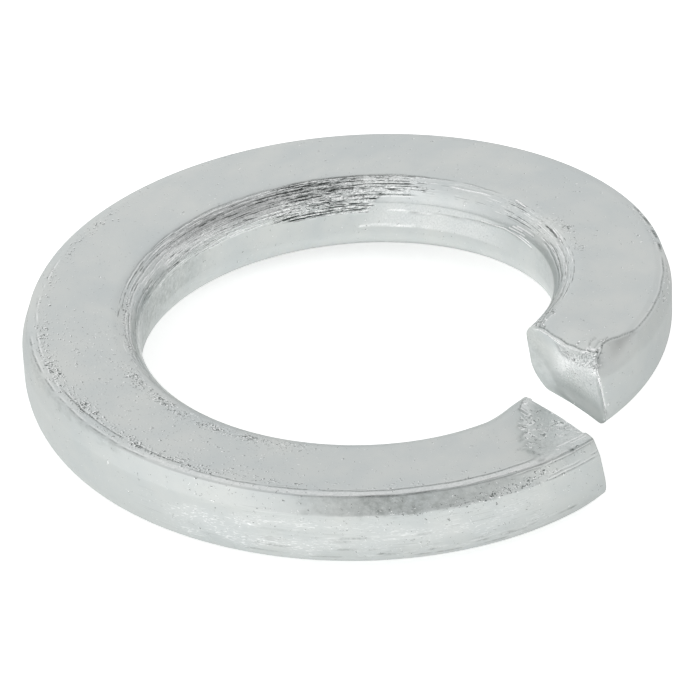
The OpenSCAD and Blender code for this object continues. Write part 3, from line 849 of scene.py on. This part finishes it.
def zinc_material(look):
    """Electroplated zinc on rolled spring steel: a soft grey sheen, with drawn lines, pits and edges rubbed bright, and
    highlights and shade painted on pits, grooves, ridges and curls.
    """
    material = bpy.data.materials.new("electroplated_zinc_on_rolled_steel")
    material.use_nodes = True
    tree = material.node_tree
    tree.nodes.clear()
    wire = put(tree, "ShaderNodeAttribute", attribute_name="wire", out="Vector")
    drawn, torn, burnish_and_highlight, pit_and_groove_shade, stain_and_shade, specked, rubbed, curled, scratched = (
        put(tree, "ShaderNodeAttribute", attribute_name=name, out="Fac") for name in MARKS)

    # Soft clouds of two tints, and mottled painted shade and dull stain where the skin is marked for them
    patches = put(tree, NOISE, {"Vector": wire, "Scale": 0.35, "Detail": 6, "Roughness": 0.6})
    patches = put(tree, RAMP, {0: patches, 1: 0.35, 2: 0.65, 3: 0.0, 4: 1.0})
    colour = blend(tree, patches, (*look.zinc, 1), (*look.cool, 1))
    mottle = put(tree, NOISE, {"Vector": wire, "Scale": 3.0, "Detail": 5, "Roughness": 0.8})
    mottle = put(tree, RAMP, {0: mottle, 1: 0.35, 2: 0.65, 3: 0.0, 4: 1.6})
    stain = put(tree, MATH, {0: stain_and_shade, 1: mottle}, operation="MULTIPLY", use_clamp=True)
    colour = blend(tree, stain, colour, (*look.stain_and_shade, 1))

    # Threads along the wire, as fine as the die's own grinding marks: long and short ones together
    long_lines = put(tree, "ShaderNodeMapping", {"Vector": wire, "Scale": (0.02, 1, 1), "Location": (9, 4, 2)})
    threads = put(tree, NOISE, {"Vector": long_lines, "Scale": 15.0, "Detail": 2, "Roughness": 0.6})
    short_lines = put(tree, "ShaderNodeMapping", {"Vector": wire, "Scale": (0.09, 1, 1)})
    dashes = put(tree, NOISE, {"Vector": short_lines, "Scale": 17.0, "Detail": 1})
    dashes = put(tree, MATH, {0: dashes, 1: 0.7}, operation="MULTIPLY")
    drawing = put(tree, MATH, {0: threads, 1: 1.3, 2: dashes}, operation="MULTIPLY_ADD")
    denser = put(tree, RAMP, {0: drawn, 1: 0.2, 2: 1.0, 3: -0.12, 4: 0.0})
    scarce = put(tree, RAMP, {0: drawn, 1: 0.02, 2: 0.45, 3: 0.0, 4: 1.0})
    above = put(tree, MATH, {0: drawing, 1: denser}, operation="ADD")
    bright_threads = put(tree, RAMP, {0: above, 1: 1.08, 2: 1.13, 3: 0.0, 4: 1.0})
    bright_threads = put(tree, MATH, {0: bright_threads, 1: scarce}, operation="MULTIPLY")
    below = put(tree, MATH, {0: drawing, 1: denser}, operation="SUBTRACT")
    dark_threads = put(tree, RAMP, {0: below, 1: 0.925, 2: 0.895, 3: 0.0, 4: 1.0})
    dark_threads = put(tree, MATH, {0: dark_threads, 1: scarce}, operation="MULTIPLY")

    # Bright flecks where the metal was torn by the die or rubbed, a tenth of a millimetre long
    rough = put(tree, RAMP, {0: drawn, 1: 0.2, 2: 1.0, 3: 0.0, 4: 1.0})
    scored = put(tree, MATH, {0: rubbed, 1: rough}, operation="MAXIMUM")
    fleck_lines = put(tree, "ShaderNodeMapping", {"Vector": wire, "Scale": (0.3, 1, 1), "Location": (5, 1, 7)})
    flecks = put(tree, NOISE, {"Vector": fleck_lines, "Scale": 17.0, "Detail": 1})
    bright_flecks = put(tree, RAMP, {0: flecks, 1: 0.585, 2: 0.645, 3: 0.0, 4: 1.0})
    bright_flecks = put(tree, MATH, {0: bright_flecks, 1: scored}, operation="MULTIPLY")
    dark_flecks = put(tree, RAMP, {0: flecks, 1: 0.4, 2: 0.34, 3: 0.0, 4: 0.9})
    dark_flecks = put(tree, MATH, {0: dark_flecks, 1: rough}, operation="MULTIPLY")

    # Curls of torn metal: broken contour lines, with a painted highlight on each crest and painted shade on one side
    swirl = put(tree, NOISE, {"Vector": wire, "Scale": 3.0, "Detail": 1, "Distortion": 0.6})
    broken = put(tree, NOISE, {"Vector": wire, "Scale": 4.5, "Detail": 0})
    broken = put(tree, MATH, {0: curled, 1: 0.45, 2: broken}, operation="MULTIPLY_ADD")
    broken = put(tree, RAMP, {0: broken, 1: 0.82, 2: 0.9, 3: 0.0, 4: 1.0})
    crest = put(tree, MATH, {0: swirl, 1: 0.5, 2: 0.05}, operation="COMPARE")
    curl_painted_highlights = put(tree, MATH, {0: crest, 1: broken}, operation="MULTIPLY")
    shade = put(tree, MATH, {0: swirl, 1: 0.59, 2: 0.035}, operation="COMPARE")
    curl_painted_shade = put(tree, MATH, {0: shade, 1: broken}, operation="MULTIPLY")
    curl_painted_shade = put(tree, MATH, {0: curl_painted_shade, 1: 0.6}, operation="MULTIPLY")

    # Specks: pits darkened with painted shade, with a painted highlight on the rim on one side, denser where the skin
    # is more specked
    speck = {"Scale": 8.0, "Detail": 2, "Roughness": 0.6, "Distortion": 1.2}
    specks = put(tree, NOISE, {"Vector": wire, **speck})
    above = put(tree, MATH, {0: specked, 1: 0.18, 2: specks}, operation="MULTIPLY_ADD")
    pits = put(tree, RAMP, {0: above, 1: 0.73, 2: 0.77, 3: 0.0, 4: 1.0})
    beside = put(tree, "ShaderNodeMapping", {"Vector": wire, "Location": (0.04, 0.04, -0.03)})
    specks = put(tree, NOISE, {"Vector": beside, **speck})
    above = put(tree, MATH, {0: specked, 1: 0.18, 2: specks}, operation="MULTIPLY_ADD")
    dents = put(tree, RAMP, {0: above, 1: 0.73, 2: 0.77, 3: 0.0, 4: 1.0})

    # Pressed lines and ridges are ragged close up: the painted shade in pressed lines, and the rubbed metal and painted
    # highlights on ridges
    ragged = put(tree, NOISE, {"Vector": wire, "Scale": 9.0, "Detail": 3, "Roughness": 0.6})
    ragged = put(tree, RAMP, {0: ragged, 1: 0.38, 2: 0.62, 3: 0.5, 4: 1.3})
    pressed = put(tree, MATH, {0: pit_and_groove_shade, 1: ragged}, operation="MULTIPLY")
    shiny = put(tree, MATH, {0: burnish_and_highlight, 1: ragged}, operation="MULTIPLY")
    wavering = put(tree, MATH, {0: ragged, 1: 0.06, 2: scratched}, operation="MULTIPLY_ADD")
    scratches = put(tree, RAMP, {0: wavering, 1: 0.925, 2: 0.965, 3: 0.0, 4: 1.0})
    lines = total(tree, dark_threads, dark_flecks)
    dark = total(tree, pressed, pits, curl_painted_shade)
    bright = total(tree, put(tree, MATH, {0: rubbed, 1: 0.2}, operation="MULTIPLY"),
                   shiny, scratches, bright_threads, bright_flecks, dents, curl_painted_highlights)
    # Bright marks take the pale colour, as rubbed metal and painted highlights; dark marks take the dark colour, as
    # painted shade in pits, grooves and curls
    colour = blend(tree, bright, colour, (*look.burnish_and_highlight, 1))
    colour = blend(tree, dark, colour, (*look.pit_and_groove_shade, 1))
    colour = blend(tree, lines, colour, (*look.scored, 1))

    grain = put(tree, NOISE, {"Vector": wire, "Scale": 8.0, "Detail": 3})
    crumple = put(tree, NOISE, {"Vector": wire, "Scale": 5.0, "Detail": 3, "Roughness": 0.6})
    height = put(tree, MATH, {0: flecks, 1: rough}, operation="MULTIPLY")
    height = put(tree, MATH, {0: drawing, 1: drawn, 2: height}, operation="MULTIPLY_ADD")
    height = put(tree, MATH, {0: grain, 1: 0.03, 2: height}, operation="MULTIPLY_ADD")
    crumpled = put(tree, MATH, {0: crumple, 1: torn}, operation="MULTIPLY")
    height = put(tree, MATH, {0: crumpled, 1: 1.6, 2: height}, operation="MULTIPLY_ADD")
    height = put(tree, MATH, {0: pits, 1: -0.5, 2: height}, operation="MULTIPLY_ADD")
    height = put(tree, MATH, {0: curl_painted_highlights, 1: 0.5, 2: height}, operation="MULTIPLY_ADD")
    height = put(tree, MATH, {0: scratches, 1: 0.8, 2: height}, operation="MULTIPLY_ADD")
    relief = put(tree, "ShaderNodeBump", {"Height": height, "Distance": 0.04 * MM, "Strength": 1.0})

    dull = put(tree, RAMP, {0: patches, 1: 0.0, 2: 1.0, 3: look.roughness - 0.03, 4: look.roughness + 0.03})
    smooth = put(tree, MATH, {0: burnish_and_highlight, 1: -0.15, 2: dull}, operation="MULTIPLY_ADD")
    smooth = put(tree, MATH, {0: torn, 1: 0.15, 2: smooth}, operation="MULTIPLY_ADD")
    roughness = put(tree, MATH, {0: drawn, 1: -0.16, 2: smooth}, operation="MULTIPLY_ADD")
    surface = put(tree, "ShaderNodeBsdfPrincipled", {
        "Base Color": colour, "Metallic": 1.0, "Roughness": roughness, "Normal": relief})
    put(tree, "ShaderNodeOutputMaterial", {"Surface": surface})
    return material


class LOCKWASHER_OT_make_ring(bpy.types.Operator):
    """Roll, crop, coil and plate the washer's one turn of wire"""
    bl_idname = "lockwasher.make_ring"
    bl_label = "Washer"

    def execute(self, context):
        scene = context.scene
        wire, split, look = scene.lock_washer_wire, scene.lock_washer_split, scene.lock_washer_zinc
        skin = Skin(wire, split)
        for step in (draw_the_wire, edge_the_rim, tumble, crop_the_raised_end, crop_the_lower_end):
            step(skin)
        tree = coil_tree(zinc_material(look))
        sizes = {
            "Middle Radius": skin.middle_radius * MM, "Stock Radius": skin.stock_radius * MM, "Rim Radius": RIM_RADIUS,
            "Thickness": wire.thickness, "Rise": wire.rise, "Split Direction": split.direction,
            "Split Width": split.width, "Raised Cut": split.raised_cut,
            "Lower Cut": split.lower_cut, "Lean": split.lean, "Roll Depth": split.roll_depth,
            "Roll Length": split.roll_length, "Wave Depth": look.wave_depth, "Draw Depth": look.draw_depth,
            "Crinkle Depth": look.crinkle_depth}
        piece = coiled_mesh(straight_wire(skin), tree, sizes)
        set_down(piece)
        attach(piece, "root")
        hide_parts("lock_washer")
        return {"FINISHED"}


# Stage

# The camera's distance from the washer's middle and its height above the horizon, seen in the washer's own frame
CAMERA_DISTANCE = 267.1
CAMERA_ELEVATION = 30.97
# Turn of the picture about the line of sight, clockwise
CAMERA_ROLL = 2.65
# How far below the washer's middle the line of sight passes, which sets the washer a little high in the picture
AIM_BELOW = 0.86
FLOOR_SIDE = 2400

# Direction from the washer towards the side on which the paper is brightest, along the floor
LIT_SIDE = (-0.15, -0.99, 0)
# Direction of the middle of the dark ceiling, and the cosines at which it starts and is full
CEILING_MIDDLE = (0.369, -0.065, 0.927)
CEILING_EDGE = (0.8, 0.93)
# How far to the left and right the tent's own brightness changes, as a direction's sideways part
TENT_FADE = 0.3
# Where the paper's lift starts and is full, towards its bright side from the washer's axis
LIFT_RANGE = (-15 * MM, 20 * MM)


def resting_floor(split, wire):
    """Height of the surface that the washer rests on, as a function of x and y in millimetres.

    The turn touches it at the lower end and straight across the bore, and the surface runs level with the wire there.
    """
    rise = wire.rise / MM
    contact_radius = RIM_RADIUS / MM - wire.rim_under_in / MM
    towards_split = -rise / 4 / contact_radius
    across_split = rise / math.tau / contact_radius
    cosine, sine = math.cos(split.direction), math.sin(split.direction)
    slope_x = towards_split * cosine - across_split * sine
    slope_y = towards_split * sine + across_split * cosine
    return lambda x, y: rise / 4 + slope_x * x + slope_y * y


def add_floor(look, height, piece):
    """A plain square floor that just touches the washer."""
    points = np.array([v.co for v in piece.data.vertices]) / MM
    drop = (height(points[:, 0], points[:, 1]) - points[:, 2]).max()
    half = FLOOR_SIDE / 2
    corners = [(-half, -half), (half, -half), (half, half), (-half, half)]
    mesh = bpy.data.meshes.new("floor")
    mesh.from_pydata([(x * MM, y * MM, (height(x, y) - drop) * MM) for x, y in corners], [], [(0, 1, 2, 3)])
    mesh.materials.append(floor_material(look))
    floor = bpy.data.objects.new("floor", mesh)
    bpy.context.collection.objects.link(floor)


def floor_material(look):
    """Matt white paper, lifted to white where the camera or the metal sees it, with the washer's shadow kept.

    In the metal the lift is strong on the camera's side, weak behind the washer and strong again in the bore, where
    the light comes in over the wire.
    """
    material = bpy.data.materials.new("matt_white_paper")
    material.use_nodes = True
    tree = material.node_tree
    tree.nodes.clear()
    place = put(tree, "ShaderNodeTexCoord", out="Object")
    towards_light = put(tree, VECTOR_MATH, {0: place, 1: LIT_SIDE}, operation="DOT_PRODUCT", out="Value")
    from_axis = put(tree, VECTOR_MATH, {0: place}, operation="LENGTH", out="Value")
    outside = put(tree, RAMP, {0: towards_light, 1: LIFT_RANGE[0], 2: LIFT_RANGE[1], 3: look.far_lift,
                               4: look.near_lift})
    inside = put(tree, RAMP, {0: from_axis, 1: 0.78 * BORE_RADIUS, 2: 0.92 * BORE_RADIUS, 3: look.bore_lift,
                              4: look.foot_lift})
    mirrored = put(tree, RAMP, {0: from_axis, 1: 1.08 * BORE_RADIUS, 2: 1.22 * BORE_RADIUS, 3: inside, 4: outside})
    paths = tree.nodes.new("ShaderNodeLightPath").outputs
    sent_on = put(tree, MATH, {0: paths["Is Glossy Ray"], 1: paths["Is Transmission Ray"]}, operation="MAXIMUM")
    mirrored = put(tree, MATH, {0: sent_on, 1: mirrored}, operation="MULTIPLY")
    lift = put(tree, MATH, {0: paths["Is Camera Ray"], 1: look.seen_lift, 2: mirrored}, operation="MULTIPLY_ADD")
    paper = put(tree, "ShaderNodeBsdfDiffuse", {"Color": (*look.floor, 1)})
    glow = put(tree, "ShaderNodeEmission", {"Color": (1, 1, 1, 1), "Strength": lift})
    put(tree, "ShaderNodeOutputMaterial", {"Surface": put(tree, "ShaderNodeAddShader", {0: paper, 1: glow})})
    return material


def zone(tree, azimuth, elevation, sides, heights, soft):
    """1 inside a range of directions and 0 outside. Azimuth 0 is the camera's side, and all are in degrees."""
    edges = [
        (azimuth, sides[0] - soft, sides[0] + soft, 0.0, 1.0), (azimuth, sides[1] - soft, sides[1] + soft, 1.0, 0.0),
        (elevation, heights[0] - soft, heights[0] + soft, 0.0, 1.0),
        (elevation, heights[1] - soft, heights[1] + soft, 1.0, 0.0),
    ]
    inside = 1.0
    for value, start, end, before, after in edges:
        edge = put(tree, RAMP, {0: value, 1: start, 2: end, 3: before, 4: after}, interpolation_type="SMOOTHSTEP")
        inside = put(tree, MATH, {0: edge, 1: inside}, operation="MULTIPLY")
    return inside


def tent_world(look):
    """A white tent of light: open on the camera's side and at the top, brighter in front of a strip light."""
    world = bpy.data.worlds.new("white_tent")
    bpy.context.scene.world = world
    world.use_nodes = True
    tree = world.node_tree
    tree.nodes.clear()
    direction = put(tree, "ShaderNodeTexCoord", out="Generated")
    parts = put(tree, "ShaderNodeSeparateXYZ", {0: direction}).node.outputs
    backwards = put(tree, MATH, {0: parts[1], 1: -1.0}, operation="MULTIPLY")
    azimuth = put(tree, MATH, {0: parts[0], 1: backwards}, operation="ARCTAN2")
    azimuth = put(tree, MATH, {0: azimuth}, operation="DEGREES")
    elevation = put(tree, MATH, {0: put(tree, MATH, {0: parts[2]}, operation="ARCSINE")}, operation="DEGREES")
    opening = zone(tree, azimuth, elevation, (-8, 60), (-25, 50), 8)
    strip = zone(tree, azimuth, elevation, (-78, -22), (-25, 50), 8)
    ceiling = put(tree, VECTOR_MATH, {0: direction, 1: CEILING_MIDDLE}, operation="DOT_PRODUCT", out="Value")
    ceiling = put(tree, RAMP, {0: ceiling, 1: CEILING_EDGE[0], 2: CEILING_EDGE[1], 3: 0.0, 4: 1.0},
                  interpolation_type="SMOOTHSTEP")
    level = put(tree, RAMP, {0: parts[0], 1: -TENT_FADE, 2: TENT_FADE, 3: look.tent_level, 4: look.far_tent_level},
                interpolation_type="SMOOTHSTEP")
    for inside, shine in ((opening, look.opening_level), (strip, look.strip_level), (ceiling, look.ceiling_level)):
        level = put(tree, RAMP, {0: inside, 1: 0.0, 2: 1.0, 3: level, 4: shine})
    paths = tree.nodes.new("ShaderNodeLightPath").outputs
    level = put(tree, RAMP, {0: paths["Is Camera Ray"], 1: 0.0, 2: 1.0, 3: level, 4: 1.0})
    sky = put(tree, "ShaderNodeBackground", {"Color": (1, 1, 1, 1), "Strength": level})
    put(tree, "ShaderNodeOutputWorld", {"Surface": sky})


def add_camera(look):
    """The camera at the photograph's angle, aimed a little below the washer's middle."""
    middle = Vector((0, 0, (cad_box[0].z + cad_box[1].z) / 2))
    elevation = math.radians(CAMERA_ELEVATION)
    back = Vector((0, -math.cos(elevation), math.sin(elevation)))
    data = bpy.data.cameras.new("camera")
    data.sensor_fit = "HORIZONTAL"
    data.sensor_width = 36
    data.lens = look.lens
    data.clip_start, data.clip_end = 10 * MM, 10
    data.dof.use_dof = False
    camera = bpy.data.objects.new("camera", data)
    bpy.context.collection.objects.link(camera)
    camera.location = middle + back * CAMERA_DISTANCE * MM
    sight = middle - Vector((0, 0, AIM_BELOW * MM)) - camera.location
    camera.rotation_mode = "QUATERNION"
    camera.rotation_quaternion = sight.to_track_quat("-Z", "Y") @ Quaternion((0, 0, 1), math.radians(-CAMERA_ROLL))
    bpy.context.scene.camera = camera


class LOCKWASHER_OT_make_stage(bpy.types.Operator):
    """Lay the floor under the washer, light it with the tent and set up the camera"""
    bl_idname = "lockwasher.make_stage"
    bl_label = "Stage"

    def execute(self, context):
        scene = context.scene
        piece = bpy.data.objects["lock_washer_zinc"]
        add_floor(scene.lock_washer_stage, resting_floor(scene.lock_washer_split, scene.lock_washer_wire), piece)
        tent_world(scene.lock_washer_stage)
        add_camera(scene.lock_washer_stage)
        scene.view_settings.view_transform = "Standard"
        return {"FINISHED"}


class LOCKWASHER_PT_build(bpy.types.Panel):
    """Sizes and looks of the lock washer"""
    bl_label = "Lock Washer"
    bl_space_type = "VIEW_3D"
    bl_region_type = "UI"
    bl_category = "Lock Washer"

    def draw(self, context):
        for operator in (LOCKWASHER_OT_make_ring, LOCKWASHER_OT_make_stage):
            self.layout.operator(operator.bl_idname)
        for name in GROUPS:
            group = getattr(context.scene, name)
            column = self.layout.column(align=True)
            for field in group.bl_rna.properties.keys()[1:]:
                column.prop(group, field)


GROUPS = {"lock_washer_wire": WireSizes, "lock_washer_split": SplitSizes, "lock_washer_zinc": ZincLook,
          "lock_washer_stage": StageLook}
CLASSES = [*GROUPS.values(), LOCKWASHER_OT_make_ring, LOCKWASHER_OT_make_stage, LOCKWASHER_PT_build]


def register():
    for one in CLASSES:
        bpy.utils.register_class(one)
    for name, group in GROUPS.items():
        setattr(bpy.types.Scene, name, bpy.props.PointerProperty(type=group))


def unregister():
    for name in GROUPS:
        delattr(bpy.types.Scene, name)
    for one in reversed(CLASSES):
        bpy.utils.unregister_class(one)


def main():
    register()
    bpy.ops.lockwasher.make_ring()
    bpy.ops.lockwasher.make_stage()


if __name__ == "__main__":
    main()
